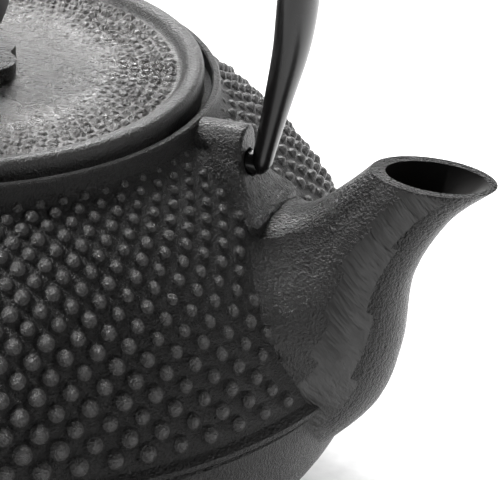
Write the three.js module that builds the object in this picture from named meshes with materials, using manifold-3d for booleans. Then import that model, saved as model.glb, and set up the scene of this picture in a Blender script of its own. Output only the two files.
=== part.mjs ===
// Cast-iron teapot with a hobnail body: pot, spout and two ears, lid with a riveted ball knob,
// tubular bail handle and a steel tea infuser. Millimetres, +Z up, +X towards the spout,
// origin at the centre of the underside.
import * as THREE from 'three';
import { mergeVertices } from 'three/addons/utils/BufferGeometryUtils.js';
import Module from 'manifold-3d';

const wasm = await Module();
wasm.setup();

// ---------- driving dimensions ----------
const GAP = 0.3;                 // clearance between neighbouring pieces
const TURN_STEPS = 48;           // facets round every turned piece

const FOOT_RADIUS = 39.4;         // flat underside
const FOOT_HEIGHT = 2;
const SEAM_RADIUS = 76.2;        // ledge where the two mould halves met
const SEAM_LOW = 36.8;
const SEAM_HIGH = 39;
const BASE_RADIUS = 74.4;        // rim of the bowl under the ledge
const BASE_TAPER = 1.4;          // above 1 the bowl narrows faster than an ellipse
const SHOULDER = { r: 13.9, z: 24.9, radius: 62.5 };    // centre and radius of the outer shoulder arc
const SHOULDER_IN = { r: 13.9, z: 24.9, radius: 58.4 }; // the same for the inner wall
const WALL = 3.8;
const FLOOR = 4.5;               // thickness of the base

const COLLAR_RADIUS = 48.2;
const COLLAR_TOP = 81.2;
const COLLAR_FOOT = 76.6;        // where the collar leaves the shoulder
const LID_SEAT_RADIUS = 46.8;
const LID_SEAT = 78.6;           // height of the ledge under the lid
const INFUSER_SEAT_RADIUS = 43.3;
const INFUSER_SEAT = 77.6;
const THROAT_RADIUS = 40.6;      // clear mouth of the pot

const LID_RADIUS = 45.4;
const LID_RIM_TOP = 84.1;
const LID_FIELD = 82.4;          // top of the sunken disc inside the rim
const LID_UNDER = LID_SEAT + GAP;
const SPIGOT_RADIUS = 38.4;      // ring under the lid that centres it
const SPIGOT_LOW = 72.5;
const SPIGOT_WALL = 2;

const STEM_RADIUS = 2.2;         // rivet stem of the knob
const STEM_HOLE = STEM_RADIUS + GAP;
const BALL_RADIUS = 12.6;
const BALL_CENTRE = 97.2;
const SEAT_RADIUS = 13.7;        // scalloped seat under the ball
const SEAT_LOBES = 8;
const SEAT_TOP = 85.3;
const WASHER = { radius: 6, low: 76.6, high: LID_UNDER - GAP };
const RIVET_HEAD = { radius: 3.9, low: 74.7, high: WASHER.low - GAP };

const PIVOT_HEIGHT = 74.5;       // axis of the ear holes
const EAR_FACE = 56.4;           // outer face of an ear, from the pot's axis
const EAR_TOP = 80.9;
const EAR_HALF_WIDTH = 3.7;
const EAR_HOLE_RADIUS = 2.4;
const PEG_RADIUS = 2;
const PEG_TIP = 51.5;            // inner end of the handle's peg

const BAIL_WAIST = { x: 65, z: 108 };   // widest point of the bail
const BAIL_TOP = 156;
const BAIL_THICK = 3.3;          // half thickness of the tube, in the plane of the bail
const BAIL_WIDE = 5.6;           // half width of the tube, across the bail

const INFUSER_OUTER = 39.2;      // woven wall
const INFUSER_SHEET = 0.5;
const INFUSER_LOW = 41.5;

// ---------- shape tools ----------
const point = (r, z) => new THREE.Vector2(r, z);

/** Points along a circular arc, angles in degrees from the +r direction. */
function arc({ r, z, radius }, from, to, steps) {
  const points = [];
  for (let i = 0; i <= steps; i += 1) {
    const angle = THREE.MathUtils.degToRad(from + (to - from) * (i / steps));
    points.push(point(r + radius * Math.cos(angle), z + radius * Math.sin(angle)));
  }
  return points;
}

/** Tapered quarter ellipse from the foot (rFoot, zFoot) up to the vertical tangent at (rTop, zTop). */
function bowl(rFoot, zFoot, rTop, zTop, steps) {
  const points = [];
  for (let i = 0; i <= steps; i += 1) {
    const angle = (Math.PI / 2) * (i / steps);
    const share = Math.sin(angle) ** BASE_TAPER;
    points.push(point(rFoot + (rTop - rFoot) * share, zTop - (zTop - zFoot) * Math.cos(angle)));
  }
  return points;
}

/** Turned piece about the Z axis. A profile off the axis is closed on itself. */
function turned(profile, steps = TURN_STEPS) {
  const outline = [...profile];
  const first = outline[0];
  if (first.x > 0) outline.push(first.clone());
  const geometry = new THREE.LatheGeometry(outline, steps);
  geometry.rotateX(Math.PI / 2);
  return geometry;
}

/** Closed body through elliptical rings. Each ring has a centre and two scaled half axes. */
function loft(rings, sides) {
  const positions = [];
  const index = [];
  for (const { centre, u, v } of rings) {
    for (let k = 0; k < sides; k += 1) {
      const angle = (2 * Math.PI * k) / sides;
      const p = centre.clone().addScaledVector(u, Math.cos(angle)).addScaledVector(v, Math.sin(angle));
      positions.push(p.x, p.y, p.z);
    }
  }
  for (let i = 0; i + 1 < rings.length; i += 1) {
    for (let k = 0; k < sides; k += 1) {
      const a = i * sides + k;
      const b = i * sides + ((k + 1) % sides);
      index.push(a, b, b + sides, a, b + sides, a + sides);
    }
  }
  for (const [ring, flip] of [[0, true], [rings.length - 1, false]]) {
    const centre = positions.length / 3;
    positions.push(...rings[ring].centre.toArray());
    for (let k = 0; k < sides; k += 1) {
      const a = ring * sides + k;
      const b = ring * sides + ((k + 1) % sides);
      index.push(...(flip ? [centre, b, a] : [centre, a, b]));
    }
  }
  const geometry = new THREE.BufferGeometry();
  geometry.setAttribute('position', new THREE.Float32BufferAttribute(positions, 3));
  geometry.setIndex(index);
  return geometry;
}

/** Closed solid for joining and cutting, turned face outwards if the mesh is inside out. */
function solid(geometry) {
  const bare = new THREE.BufferGeometry();
  bare.setAttribute('position', geometry.getAttribute('position').clone());
  bare.setIndex(geometry.getIndex());
  const merged = mergeVertices(bare, 1e-4);
  const at = merged.getAttribute('position');
  const source = merged.getIndex().array;
  const corners = [];
  let volume = 0;
  const [a, b, c] = [new THREE.Vector3(), new THREE.Vector3(), new THREE.Vector3()];
  for (let i = 0; i < source.length; i += 3) {
    const [p, q, r] = [source[i], source[i + 1], source[i + 2]];
    if (p === q || q === r || r === p) continue;
    corners.push(p, q, r);
    volume += a.fromBufferAttribute(at, p).dot(b.fromBufferAttribute(at, q).cross(c.fromBufferAttribute(at, r)));
  }
  const triVerts = Uint32Array.from(volume < 0 ? corners.reverse() : corners);
  return new wasm.Manifold(new wasm.Mesh({ numProp: 3, vertProperties: new Float32Array(at.array), triVerts }));
}

function geometryOf(manifold) {
  const mesh = manifold.getMesh();
  const geometry = new THREE.BufferGeometry();
  geometry.setAttribute('position', new THREE.BufferAttribute(new Float32Array(mesh.vertProperties), 3));
  geometry.setIndex(new THREE.BufferAttribute(new Uint32Array(mesh.triVerts), 1));
  return geometry;
}

// ---------- pot ----------
/** Outside of the bowl below the seam, from the axis to the ledge. */
const bowlOutline = (grow = 0) => [
  point(0, -grow),
  point(FOOT_RADIUS + grow, -grow),
  ...bowl(FOOT_RADIUS + 0.6 + grow, FOOT_HEIGHT - grow, BASE_RADIUS + grow, SEAM_LOW, 8),
];

/** Outside of the hobnailed shoulder and the collar, from the ledge to the collar's top. */
const shoulderOutline = (grow = 0) => [
  point(SEAM_RADIUS + grow, SEAM_LOW + 0.6),
  point(SEAM_RADIUS + grow, SEAM_HIGH + grow),
  ...arc({ ...SHOULDER, radius: SHOULDER.radius + grow }, 13.2, 55, 9),
  point(COLLAR_RADIUS + 0.5 + grow, COLLAR_FOOT + 0.8),
  point(COLLAR_RADIUS + grow, COLLAR_FOOT + 1.9),
  point(COLLAR_RADIUS + grow, COLLAR_TOP + grow),
];

/** The pot's outside as one full body, used to trim the spout and ears against it. */
function potEnvelope(grow) {
  return solid(turned([...bowlOutline(grow), ...shoulderOutline(grow), point(0, COLLAR_TOP + grow)]));
}

/** Shoulder of the pot with its collar and the two ledges inside the mouth. */
function shoulder() {
  const foot = SEAM_LOW + GAP;
  return solid(turned([
    point(BASE_RADIUS, foot),
    ...shoulderOutline(),
    point(LID_SEAT_RADIUS, COLLAR_TOP),
    point(LID_SEAT_RADIUS, LID_SEAT),
    point(INFUSER_SEAT_RADIUS, LID_SEAT),
    point(INFUSER_SEAT_RADIUS, INFUSER_SEAT),
    point(THROAT_RADIUS, INFUSER_SEAT),
    ...arc(SHOULDER_IN, 61.5, 14, 8),
    point(BASE_RADIUS - WALL, foot),
  ]));
}

/** Bowl of the pot below the seam. */
function base() {
  const inside = bowl(FOOT_RADIUS - WALL, FLOOR, BASE_RADIUS - WALL, SEAM_LOW, 8).reverse();
  return turned([...bowlOutline(), ...inside, point(0, FLOOR)]);
}

// ---------- spout ----------
// Six stations from the mouth to the root, in the XZ plane: upper edge, lower edge, half width.
const SPOUT_STATIONS = [
  { ridge: [78.3, 77.7], keel: [99.9, 76.6], half: 7.4 },
  { ridge: [74.0, 73.6], keel: [92.2, 69.8], half: 7.9 },
  { ridge: [68.0, 68.8], keel: [85.9, 58.5], half: 9.6 },
  { ridge: [62.0, 66.6], keel: [84.0, 45.0], half: 12.8 },
  { ridge: [57.0, 66.2], keel: [80.2, 34.5], half: 17.2 },
  { ridge: [52.0, 66.0], keel: [72.2, 26.2], half: 22 },
];
// Bore at the same stations: where it starts and ends along the chord, and its half width.
const BORE_STATIONS = [
  { from: 0.135, to: 0.915, half: 5.3 },
  { from: 0.14, to: 0.87, half: 5.8 },
  { from: 0.17, to: 0.83, half: 6.6 },
  { from: 0.22, to: 0.66, half: 7.6 },
  { from: 0.24, to: 0.58, half: 7.6 },
  { from: 0.26, to: 0.54, half: 7.6 },
];

const alongX = (pair) => new THREE.Vector3(pair.x, 0, pair.y);
const splineOf = (pairs) => new THREE.SplineCurve(pairs.map(([x, z]) => point(x, z)));

/** Ring whose long axis runs from one point of the XZ plane to another. */
function chordRing(start, end, half) {
  return {
    centre: start.clone().add(end).multiplyScalar(0.5),
    u: end.clone().sub(start).multiplyScalar(0.5),
    v: new THREE.Vector3(0, half, 0),
  };
}

function spoutRings(steps) {
  const ridge = splineOf(SPOUT_STATIONS.map((s) => s.ridge));
  const keel = splineOf(SPOUT_STATIONS.map((s) => s.keel));
  const half = splineOf(SPOUT_STATIONS.map((s, i) => [i, s.half]));
  return Array.from({ length: steps + 1 }, (_, i) => {
    const t = i / steps;
    return chordRing(alongX(ridge.getPoint(t)), alongX(keel.getPoint(t)), half.getPoint(t).y);
  });
}

function boreRings(steps) {
  const from = splineOf(BORE_STATIONS.map((s, i) => [i, s.from]));
  const to = splineOf(BORE_STATIONS.map((s, i) => [i, s.to]));
  const half = splineOf(BORE_STATIONS.map((s, i) => [i, s.half]));
  const rings = spoutRings(steps).map(({ centre, u }, i) => {
    const t = i / steps;
    const start = centre.clone().addScaledVector(u, 2 * from.getPoint(t).y - 1);
    const end = centre.clone().addScaledVector(u, 2 * to.getPoint(t).y - 1);
    return chordRing(start, end, half.getPoint(t).y);
  });
  const above = rings[0].centre.clone().add(new THREE.Vector3(1, 0, 5));
  return [{ ...rings[0], centre: above }, ...rings];
}

// ---------- ears ----------
/** Outline of an ear seen from the spout, flared where it meets the shoulder. */
function earOutline() {
  const w = EAR_HALF_WIDTH;
  const shape = new THREE.Shape();
  shape.moveTo(-w - 5.5, PIVOT_HEIGHT - 14);
  shape.lineTo(w + 5.5, PIVOT_HEIGHT - 14);
  shape.quadraticCurveTo(w + 1, PIVOT_HEIGHT - 6, w + 0.8, PIVOT_HEIGHT);
  shape.lineTo(w, EAR_TOP - 3.4);
  shape.quadraticCurveTo(w - 0.4, EAR_TOP, 0, EAR_TOP);
  shape.quadraticCurveTo(-w + 0.4, EAR_TOP, -w, EAR_TOP - 3.4);
  shape.lineTo(-w - 0.8, PIVOT_HEIGHT);
  shape.quadraticCurveTo(-w - 1, PIVOT_HEIGHT - 6, -w - 5.5, PIVOT_HEIGHT - 14);
  return shape;
}

/** Solid with its length along +X between two stations, from an outline in the YZ plane. */
function alongAxis(shape, from, to, bevel) {
  const geometry = new THREE.ExtrudeGeometry(shape, {
    depth: to - from - 2 * bevel, steps: 1, curveSegments: 5,
    bevelEnabled: bevel > 0, bevelThickness: bevel, bevelSize: bevel, bevelOffset: -bevel, bevelSegments: 2,
  });
  geometry.translate(0, 0, from + bevel);
  geometry.rotateX(Math.PI / 2);
  geometry.rotateZ(Math.PI / 2);
  return geometry;
}

function rod(radius, from, to, sides = 20) {
  const geometry = new THREE.CylinderGeometry(radius, radius, to - from, sides);
  geometry.rotateZ(Math.PI / 2);
  geometry.translate((from + to) / 2, 0, PIVOT_HEIGHT);
  return geometry;
}

/** Blind hole for the handle's peg, through the ear and into the thick shoulder behind it. */
const earHole = () => solid(rod(EAR_HOLE_RADIUS, PEG_TIP - 0.5, EAR_FACE + 4));

function ear(envelope) {
  const block = solid(alongAxis(earOutline(), COLLAR_RADIUS + GAP, EAR_FACE, 1.1));
  return block.subtract(envelope).subtract(earHole());
}

// ---------- handle ----------
/** Centre line of the bail's right half, from the foot at the ear to the top. */
function bailPath() {
  const side = new THREE.CatmullRomCurve3([
    new THREE.Vector3(58.6, 0, PIVOT_HEIGHT - 1.7),
    new THREE.Vector3(59.3, 0, PIVOT_HEIGHT + 2),
    new THREE.Vector3(61.4, 0, 85.5),
    new THREE.Vector3(63.9, 0, 97),
    new THREE.Vector3(BAIL_WAIST.x, 0, BAIL_WAIST.z),
  ]);
  const points = side.getPoints(12);
  const steps = 11;
  for (let i = 1; i <= steps; i += 1) {
    const angle = (Math.PI / 2) * (i / steps);
    const rise = BAIL_TOP - BAIL_WAIST.z;
    points.push(new THREE.Vector3(BAIL_WAIST.x * Math.cos(angle), 0, BAIL_WAIST.z + rise * Math.sin(angle)));
  }
  return points;
}

/** Rings of the whole bail: slender at the ears, widening to the full tube, rounded foot ends. */
function bailRings() {
  const half = bailPath();
  const left = half.slice(0, -1).reverse().map((p) => new THREE.Vector3(-p.x, 0, p.z));
  const path = [...half, ...left];
  const foot = half[0].z;
  return path.map((centre, i) => {
    const before = path[Math.max(i - 1, 0)];
    const after = path[Math.min(i + 1, path.length - 1)];
    const along = after.clone().sub(before).normalize();
    const height = centre.z - foot;
    const grow = THREE.MathUtils.smoothstep(height, 0, 34);
    const end = Math.sqrt(THREE.MathUtils.clamp(0.12 + height / 2.2, 0, 1));
    return {
      centre,
      u: new THREE.Vector3(along.z, 0, -along.x).multiplyScalar(end * (1.75 + (BAIL_THICK - 1.75) * grow)),
      v: new THREE.Vector3(0, end * (2.3 + (BAIL_WIDE - 2.3) * grow), 0),
    };
  });
}

function handle() {
  let bail = solid(loft(bailRings(), 16));
  for (const side of [1, -1]) {
    const peg = rod(PEG_RADIUS, PEG_TIP, EAR_FACE + 2.2, 16);
    if (side < 0) peg.rotateZ(Math.PI);
    bail = bail.add(solid(peg));
  }
  return bail;
}

// ---------- lid and knob ----------
function lid() {
  return turned([
    point(STEM_HOLE, LID_UNDER),
    point(SPIGOT_RADIUS - SPIGOT_WALL, LID_UNDER),
    point(SPIGOT_RADIUS - SPIGOT_WALL, SPIGOT_LOW),
    point(SPIGOT_RADIUS, SPIGOT_LOW),
    point(SPIGOT_RADIUS, LID_UNDER),
    point(LID_RADIUS - 0.6, LID_UNDER),
    point(LID_RADIUS, LID_UNDER + 0.7),
    point(LID_RADIUS, LID_RIM_TOP - 1.8),
    point(LID_RADIUS - 0.5, LID_RIM_TOP - 0.8),
    point(LID_RADIUS - 1.5, LID_RIM_TOP - 0.1),
    point(LID_RADIUS - 3, LID_RIM_TOP),
    point(LID_RADIUS - 4.4, LID_RIM_TOP - 0.9),
    point(LID_RADIUS - 5.4, LID_FIELD),
    point(STEM_HOLE, LID_FIELD),
  ]);
}

function knobSeat() {
  const shape = new THREE.Shape();
  const corners = SEAT_LOBES * 4;
  for (let i = 0; i < corners; i += 1) {
    const angle = (2 * Math.PI * i) / corners;
    const r = SEAT_RADIUS + 0.5 * Math.cos(SEAT_LOBES * angle);
    shape[i === 0 ? 'moveTo' : 'lineTo'](r * Math.cos(angle), r * Math.sin(angle));
  }
  shape.holes.push(new THREE.Path().absarc(0, 0, STEM_HOLE, 0, 2 * Math.PI));
  const bevel = 0.9;
  const low = LID_FIELD + GAP;
  const geometry = new THREE.ExtrudeGeometry(shape, {
    depth: SEAT_TOP - low - 2 * bevel, curveSegments: 8,
    bevelThickness: bevel, bevelSize: bevel, bevelOffset: -bevel, bevelSegments: 2,
  });
  geometry.translate(0, 0, low + bevel);
  return geometry;
}

/** Ball, rivet stem and peened head, turned in one. */
function knob() {
  const low = SEAT_TOP + GAP;
  const start = THREE.MathUtils.radToDeg(Math.asin((low - BALL_CENTRE) / BALL_RADIUS));
  return turned([
    point(0, RIVET_HEAD.low),
    point(RIVET_HEAD.radius - 1.2, RIVET_HEAD.low + 0.2),
    point(RIVET_HEAD.radius, RIVET_HEAD.high - 0.5),
    point(RIVET_HEAD.radius, RIVET_HEAD.high),
    point(STEM_RADIUS, RIVET_HEAD.high),
    point(STEM_RADIUS, low),
    ...arc({ r: 0, z: BALL_CENTRE, radius: BALL_RADIUS }, start, 84, 11),
    point(0, BALL_CENTRE + BALL_RADIUS),
  ], 24);
}

/** Flat ring with a square section. */
function ring(inner, outer, low, high, steps = TURN_STEPS) {
  return turned([point(inner, low), point(outer, low), point(outer, high), point(inner, high)], steps);
}

// ---------- infuser ----------
function infuserRim() {
  const skirt = INFUSER_OUTER + GAP;
  return turned([
    point(skirt, INFUSER_SEAT - 5),
    point(skirt + INFUSER_SHEET, INFUSER_SEAT - 5),
    point(skirt + INFUSER_SHEET, INFUSER_SEAT + GAP),
    point(INFUSER_SEAT_RADIUS - 0.4, INFUSER_SEAT + GAP),
    point(INFUSER_SEAT_RADIUS - 0.4, INFUSER_SEAT + GAP + 0.6),
    point(skirt, INFUSER_SEAT + GAP + 0.6),
  ]);
}

function infuserBaseRing() {
  const inner = INFUSER_OUTER + GAP;
  return turned([
    point(inner - 2.4, INFUSER_LOW),
    point(inner + INFUSER_SHEET, INFUSER_LOW),
    point(inner + INFUSER_SHEET, INFUSER_LOW + 3.5),
    point(inner, INFUSER_LOW + 3.5),
    point(inner, INFUSER_LOW + 0.6),
    point(inner - 2.4, INFUSER_LOW + 0.6),
  ]);
}

function infuserFloor() {
  const low = INFUSER_LOW + 0.6 + GAP;
  const radius = INFUSER_OUTER - INFUSER_SHEET - GAP;
  return turned([point(0, low), point(radius, low), point(radius, low + 0.5), point(0, low + 0.5)]);
}

// ---------- finishes ----------
const finish = (color, roughness, metalness) => new THREE.MeshStandardMaterial({ color, roughness, metalness });
const castIron = () => finish(0x2b2a29, 0.75, 0.35);
const satinBlack = () => finish(0x1d1d1e, 0.4, 0.5);
const steel = () => finish(0xb4b6b8, 0.3, 0.9);

const teapot = new THREE.Group();

function place(name, geometry, material) {
  const mesh = new THREE.Mesh(geometry, material);
  mesh.name = name;
  teapot.add(mesh);
}

const envelope = potEnvelope(GAP);
const bore = solid(loft(boreRings(14), 20));
const oneEar = ear(envelope);
const body = shoulder().subtract(bore).subtract(earHole()).subtract(earHole().rotate([0, 0, 180]));

place('pot_body', geometryOf(body), castIron());
place('pot_base', base(), castIron());
place('spout', geometryOf(solid(loft(spoutRings(14), 28)).subtract(envelope).subtract(bore)), castIron());
place('front_ear', geometryOf(oneEar), castIron());
place('rear_ear', geometryOf(oneEar.rotate([0, 0, 180])), castIron());
place('handle', geometryOf(handle()), satinBlack());
place('lid', lid(), castIron());
place('knob_seat', knobSeat(), castIron());
place('lid_knob', knob(), satinBlack());
place('knob_washer', ring(STEM_HOLE, WASHER.radius, WASHER.low, WASHER.high, 28), steel());
place('infuser_rim', infuserRim(), steel());
place('infuser_wall', ring(INFUSER_OUTER - INFUSER_SHEET, INFUSER_OUTER, INFUSER_LOW + 0.9, INFUSER_SEAT), steel());
place('infuser_floor', infuserFloor(), steel());
place('infuser_base_ring', infuserBaseRing(), steel());

export default teapot;
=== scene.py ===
"""Hobnail cast-iron teapot: the pot with spout and ears, lid and ball knob, bail handle and infuser.

Sizes are in millimetres, with +X towards the spout and +Z up from the centre of the underside.
Each sub-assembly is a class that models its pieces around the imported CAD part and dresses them.
"""

from __future__ import annotations

import logging
import math
import random
from collections.abc import Callable, Iterable, Sequence
from dataclasses import dataclass
from enum import Enum, IntEnum

import bmesh
import bpy
from bpy.types import Material, MeshPolygon, Node, NodeSocket, NodeTree, Object
from mathutils import Matrix, Vector

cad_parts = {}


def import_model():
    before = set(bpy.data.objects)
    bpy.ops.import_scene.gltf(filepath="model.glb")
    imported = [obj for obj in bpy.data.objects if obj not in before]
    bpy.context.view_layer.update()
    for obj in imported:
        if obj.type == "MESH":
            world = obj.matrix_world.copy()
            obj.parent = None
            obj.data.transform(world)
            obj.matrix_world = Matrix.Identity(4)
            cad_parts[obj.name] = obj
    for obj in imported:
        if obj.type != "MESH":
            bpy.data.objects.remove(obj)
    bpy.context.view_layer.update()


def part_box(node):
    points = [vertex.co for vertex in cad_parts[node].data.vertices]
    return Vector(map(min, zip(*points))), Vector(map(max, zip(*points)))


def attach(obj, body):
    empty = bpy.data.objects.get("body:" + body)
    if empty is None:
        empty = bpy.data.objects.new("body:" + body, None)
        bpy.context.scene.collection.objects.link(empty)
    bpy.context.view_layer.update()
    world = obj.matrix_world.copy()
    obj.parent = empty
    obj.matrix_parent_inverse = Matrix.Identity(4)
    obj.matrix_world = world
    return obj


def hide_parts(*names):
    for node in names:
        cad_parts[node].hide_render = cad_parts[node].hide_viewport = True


LOG = logging.getLogger("teapot")
MM = 0.001
TURN_STEPS = 160
WELD = 0.002 * MM

Point = tuple[float, float]


class Body(Enum):
    """The bodies of the CAD part that a piece can ride on."""

    POT = "pot"
    HANDLE = "handle"
    LID = "lid"
    KNOB = "knob"
    INFUSER = "infuser"


class Slot(Enum):
    """The material slots named in the record."""

    CAST_IRON = "cast_iron"
    LID_IRON = "lid_iron"
    SATIN_BLACK = "satin_black"
    STAINLESS = "stainless"
    STEEL_MESH = "steel_mesh"


class Act(Enum):
    """What a solid tool does to a piece."""

    JOIN = "UNION"
    CUT = "DIFFERENCE"


class PotFace(IntEnum):
    """Material slots of the pot's shell, its spout and the bore that cuts them."""

    SKIN = 0
    DRESSED = 1
    INSIDE = 2
    WORN = 3


def clamp(value: float) -> float:
    """Keeps a value between 0 and 1."""
    return min(1, max(0, value))


def ease(share: float) -> float:
    """Makes a share from 0 to 1 start and stop gently."""
    return share * share * (3 - 2 * share)


# ---------------------------------------------------------------- finishes


@dataclass(frozen=True)
class Finish:
    """A surface: its shader values, and the grain that subclasses add.

    Attributes:
        name: Name of the material.
        colour: Linear base colour.
        roughness: Roughness of the plain surface.
        metallic: How metallic the surface is.
        specular: Strength of the lacquer's mirror reflection.
    """

    name: str
    colour: tuple[float, float, float]
    roughness: float
    metallic: float = 0.0
    specular: float = 0.5

    def build(self) -> Material:
        """Makes the material once and returns it."""
        known = bpy.data.materials.get(self.name)
        if known:
            return known
        material = bpy.data.materials.new(self.name)
        material.use_nodes = True
        shader = material.node_tree.nodes["Principled BSDF"]
        shader.inputs["Base Color"].default_value = (*self.colour, 1)
        shader.inputs["Roughness"].default_value = self.roughness
        shader.inputs["Metallic"].default_value = self.metallic
        shader.inputs["Specular IOR Level"].default_value = self.specular
        self.texture(material.node_tree, shader)
        return material

    def texture(self, tree: NodeTree, shader: Node) -> None:
        """Adds the grain of the surface. The plain finish gets a faint unevenness.

        Args:
            tree: The material's node tree.
            shader: Its Principled BSDF.
        """
        cloud = noise(tree, 160, detail=3)
        link_range(tree, cloud, shader.inputs["Roughness"], self.roughness * 0.85, self.roughness * 1.15)
        self.shade(tree, shader, cloud, 0.9, 1.12)

    def shade(self, tree: NodeTree, shader: Node, source: NodeSocket,
              darkest: float, lightest: float) -> None:
        """Varies the base colour between two multiples of itself.

        Args:
            tree: The material's node tree.
            shader: Its Principled BSDF.
            source: A value that runs from 0 to 1 over the surface.
            darkest: Multiple of the base colour at the low end.
            lightest: Multiple of the base colour at the high end.
        """
        ramp = tree.nodes.new("ShaderNodeValToRGB")
        for stop, at, gain in zip(ramp.color_ramp.elements, (0.32, 0.68), (darkest, lightest)):
            stop.position = at
            stop.color = (*(channel * gain for channel in self.colour), 1)
        tree.links.new(source, ramp.inputs["Fac"])
        tree.links.new(ramp.outputs["Color"], shader.inputs["Base Color"])


@dataclass(frozen=True)
class SandCastIron(Finish):
    """Lacquered iron with the skin of a sand mould.

    Attributes:
        grain: Sand grains per metre.
        depth: Depth of the grain, in millimetres.
        wrinkle: Depth of the broader wrinkles, in millimetres.
    """

    grain: float = 1500
    depth: float = 0.22
    wrinkle: float = 0.25

    def texture(self, tree: NodeTree, shader: Node) -> None:
        """Adds sand grain, broader wrinkles and an uneven lacquer."""
        sand = noise(tree, self.grain, detail=3, roughness=0.6)
        broad = noise(tree, self.grain * 0.45, detail=4, roughness=0.6)
        worn = noise(tree, 90, detail=4, roughness=0.6)
        fine_bump = bump(tree, sand, self.depth, 1)
        both = bump(tree, broad, self.wrinkle, 1, below=fine_bump)
        tree.links.new(both, shader.inputs["Normal"])
        link_range(tree, worn, shader.inputs["Roughness"], self.roughness * 0.86, self.roughness * 1.12)
        self.shade(tree, shader, broad, 0.7, 1.35)


@dataclass(frozen=True)
class GroundIron(Finish):
    """Iron dressed with a grinder, with scratches that run aslant.

    Attributes:
        lean: Slope of the scratches about Y, in degrees.
    """

    lean: float = 38

    def texture(self, tree: NodeTree, shader: Node) -> None:
        """Adds long fine scratches and broad grinder passes."""
        place = tree.nodes.new("ShaderNodeTexCoord").outputs["Object"]
        turned = mapping(tree, place, (0, math.radians(self.lean), 0), (1, 1, 1))
        scratches = noise(tree, 2200, detail=3, at=mapping(tree, turned, (0, 0, 0), (1, 1, 0.07)))
        passes = noise(tree, 760, detail=2, at=mapping(tree, turned, (0, 0, 0), (1, 0.4, 0.14)))
        grain = bump(tree, scratches, 0.16, 1)
        tree.links.new(bump(tree, passes, 0.5, 1, below=grain), shader.inputs["Normal"])
        link_range(tree, passes, shader.inputs["Roughness"], self.roughness * 0.8, self.roughness * 1.25)
        self.shade(tree, shader, scratches, 0.85, 1.2)


@dataclass(frozen=True)
class SatinPaint(Finish):
    """Smooth satin black with a very fine orange peel."""

    def texture(self, tree: NodeTree, shader: Node) -> None:
        """Adds a faint peel and a faint drift in gloss."""
        peel = noise(tree, 1100, detail=2)
        drift = noise(tree, 60, detail=2)
        tree.links.new(bump(tree, peel, 0.02, 0.4), shader.inputs["Normal"])
        link_range(tree, drift, shader.inputs["Roughness"], self.roughness * 0.85, self.roughness * 1.2)
        self.shade(tree, shader, drift, 0.85, 1.2)


def noise(tree: NodeTree, scale: float, detail: float = 2, roughness: float = 0.5,
          at: NodeSocket | None = None) -> NodeSocket:
    """Adds a noise texture on Object coordinates.

    Args:
        tree: The material's node tree.
        scale: Features per metre.
        detail: Octaves.
        roughness: Weight of the finer octaves.
        at: Coordinates to use instead of the plain Object ones.

    Returns:
        The noise value, from 0 to 1.
    """
    node = tree.nodes.new("ShaderNodeTexNoise")
    node.inputs["Scale"].default_value = scale
    node.inputs["Detail"].default_value = detail
    node.inputs["Roughness"].default_value = roughness
    source = at or tree.nodes.new("ShaderNodeTexCoord").outputs["Object"]
    tree.links.new(source, node.inputs["Vector"])
    return node.outputs["Fac"]


def mapping(tree: NodeTree, source: NodeSocket, rotation: Sequence[float],
            scale: Sequence[float]) -> NodeSocket:
    """Turns and stretches coordinates.

    Args:
        tree: The material's node tree.
        source: The coordinates.
        rotation: Turn about X, Y and Z, in radians.
        scale: Stretch along X, Y and Z.

    Returns:
        The changed coordinates.
    """
    node = tree.nodes.new("ShaderNodeMapping")
    node.inputs["Rotation"].default_value = rotation
    node.inputs["Scale"].default_value = scale
    tree.links.new(source, node.inputs["Vector"])
    return node.outputs["Vector"]


def bump(tree: NodeTree, height: NodeSocket, depth: float, strength: float,
         below: NodeSocket | None = None) -> NodeSocket:
    """Adds relief to the shading.

    Args:
        tree: The material's node tree.
        height: Height of the relief, from 0 to 1.
        depth: What a height of 1 stands for, in millimetres.
        strength: How much of the relief is used.
        below: Normal of the relief that this one lies on.

    Returns:
        The changed normal.
    """
    node = tree.nodes.new("ShaderNodeBump")
    node.inputs["Strength"].default_value = strength
    node.inputs["Distance"].default_value = depth * MM
    tree.links.new(height, node.inputs["Height"])
    if below:
        tree.links.new(below, node.inputs["Normal"])
    return node.outputs["Normal"]


def link_range(tree: NodeTree, source: NodeSocket, target: NodeSocket,
               low: float, high: float) -> None:
    """Feeds a socket from a 0 to 1 value, remapped.

    Args:
        tree: The material's node tree.
        source: The value.
        target: The socket to feed.
        low: Result near the value's low end.
        high: Result near its high end.
    """
    node = tree.nodes.new("ShaderNodeMapRange")
    node.inputs["From Min"].default_value = 0.3
    node.inputs["From Max"].default_value = 0.7
    node.inputs["To Min"].default_value = low
    node.inputs["To Max"].default_value = high
    tree.links.new(source, node.inputs["Value"])
    tree.links.new(node.outputs["Result"], target)


BODY_IRON = SandCastIron("body_cast_iron", (0.007, 0.0066, 0.0064), 0.34, specular=0.32,
                         grain=2300, depth=0.7, wrinkle=0.15)
# Hobnail tops: the body iron made three times lighter, a painted highlight where the tops face the
# lights; the ground between keeps the dark body iron.
HOBNAIL_TOP_HIGHLIGHT_IRON = SandCastIron("hobnail_top_painted_highlight", (0.021, 0.0199, 0.0193), 0.30, specular=0.75,
                            grain=2300, depth=0.65, wrinkle=0.12)
RIM_IRON = SandCastIron("rim_cast_iron", (0.012, 0.0114, 0.011), 0.32, grain=2300, depth=0.4, wrinkle=0.1)
ROUGH_IRON = SandCastIron("rough_cast_iron", (0.008, 0.0075, 0.0073), 0.31, specular=0.42,
                          grain=1900, depth=1.5, wrinkle=0.3)
WORN_IRON = SandCastIron("worn_cast_iron", (0.010, 0.0094, 0.0091), 0.35, specular=0.45,
                         grain=1900, depth=0.6, wrinkle=0.15)
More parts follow.
